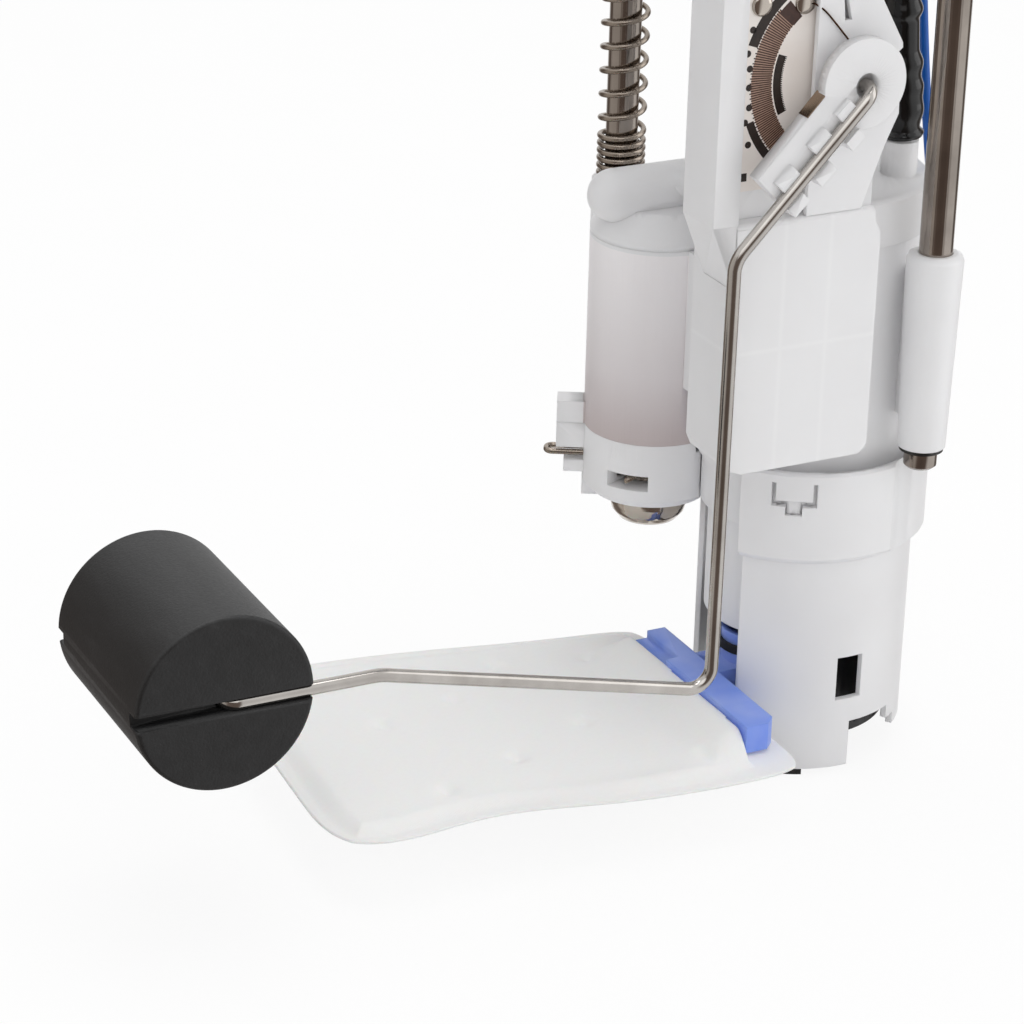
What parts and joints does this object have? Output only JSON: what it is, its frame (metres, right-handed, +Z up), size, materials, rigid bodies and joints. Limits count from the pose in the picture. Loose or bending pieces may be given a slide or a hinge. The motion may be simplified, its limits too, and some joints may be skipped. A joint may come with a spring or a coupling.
{
  "type": "fuel pump module",
  "caption": "In-tank fuel pump module: a carrier with pump, filter and regulator on two guide rods, a level sender with a float on a bent wire, and a flat strainer.",
  "frame": {"origin": "centre of the flange on its sealing face, which rests on the tank", "axes": "+Z up out of the tank, +X to the right along the front box, +Y away from the float arm's side"},
  "size_m": [0.2498, 0.1405, 0.2884],
  "materials": {
    "white_acetal": "satin natural acetal",
    "black_rubber": "soft black",
    "tinned_brass": "tinned",
    "ground_steel": "ground",
    "black_steel": "phosphated",
    "spring_steel": "drawn wire",
    "black_hose": "glossy corrugated nylon",
    "blue_wire": "insulation",
    "black_wire": "insulation",
    "filter_paper": "pleated paper",
    "plated_steel": "bright plated",
    "black_moulding": "moulded",
    "carbon": "pressed carbon",
    "ferrite": "sintered",
    "blue_moulding": "moulded",
    "strainer_mesh": "fine nylon mesh",
    "ceramic_card": "alumina",
    "copper": "turned",
    "arm_steel": "drawn wire",
    "float_foam": "closed-cell foam"
  },
  "bodies": {
    "flange": {"flange_plate": "white_acetal", "flange_gasket": "black_rubber", "connector_shell": "white_acetal", "connector_pins": "tinned_brass", "guide_rod_right": "ground_steel", "guide_rod_left": "ground_steel", "rod_clips": "black_steel", "rod_spring": "spring_steel", "fuel_hose": "black_hose", "pump_lead_live": "blue_wire", "pump_lead_ground": "black_wire", "sender_leads": "black_wire"},
    "carrier": {"carrier_body": "white_acetal", "manifold_cap": "white_acetal", "filter_element": "filter_paper", "canister_base": "white_acetal", "regulator_shell": "plated_steel", "regulator_seal": "black_rubber", "regulator_spring": "spring_steel", "regulator_clip": "spring_steel", "canister_clip": "spring_steel", "front_box_cover": "white_acetal", "pump_cup": "white_acetal", "cup_foot_pads": "black_rubber", "pump_isolator": "black_rubber", "pump_shell": "plated_steel", "pump_inlet_cap": "black_moulding", "pump_plate": "black_moulding", "pump_outlet_cap": "black_moulding", "pump_brushes": "carbon", "pump_terminals": "tinned_brass", "pump_magnets": "ferrite", "strainer_frame": "blue_moulding", "strainer_neck_ring": "black_rubber", "strainer_sock": "strainer_mesh", "sender_housing": "white_acetal", "resistor_card": "ceramic_card", "card_rivets": "plated_steel", "sender_cover": "white_acetal", "wiper_feed_wire": "tinned_brass"},
    "pump_rotor": {"rotor_shaft": "ground_steel", "rotor_stack": "plated_steel", "rotor_commutator": "copper", "rotor_impeller": "black_moulding"},
    "float_arm": {"float_lever": "white_acetal", "float_arm_wire": "arm_steel", "wiper_contact": "tinned_brass", "float": "float_foam"},
    "relief_valve": {"regulator_valve": "plated_steel"},
    "check_ball": {"outlet_check_ball": "plated_steel"}
  },
  "joints": [
    {"name": "carrier_slide", "type": "slide", "parent": "flange", "child": "carrier", "axis": [0, 0, 1], "range_m": [0, 0.03], "stiffness_N_per_m": 100, "springref_m": -0.04, "deforming": ["rod_spring", "fuel_hose", "pump_lead_live", "pump_lead_ground", "sender_leads"]},
    {"name": "float_arm_hinge", "type": "hinge", "parent": "carrier", "child": "float_arm", "pos_m": [-0.005, -0.0395, -0.0839], "axis": [0, 1, 0], "range_deg": [0, 56]},
    {"name": "rotor_spin", "type": "hinge", "parent": "carrier", "child": "pump_rotor", "pos_m": [0.011, -0.003, -0.186], "axis": [0, 0, 1], "continuous": true},
    {"name": "relief_valve_lift", "type": "slide", "parent": "carrier", "child": "relief_valve", "axis": [0, 0, -1], "range_m": [0, 0.0008], "stiffness_N_per_m": 400, "springref_m": -0.001},
    {"name": "check_ball_lift", "type": "slide", "parent": "carrier", "child": "check_ball", "axis": [0, 0, 1], "range_m": [0, 0.002]}
  ]
}
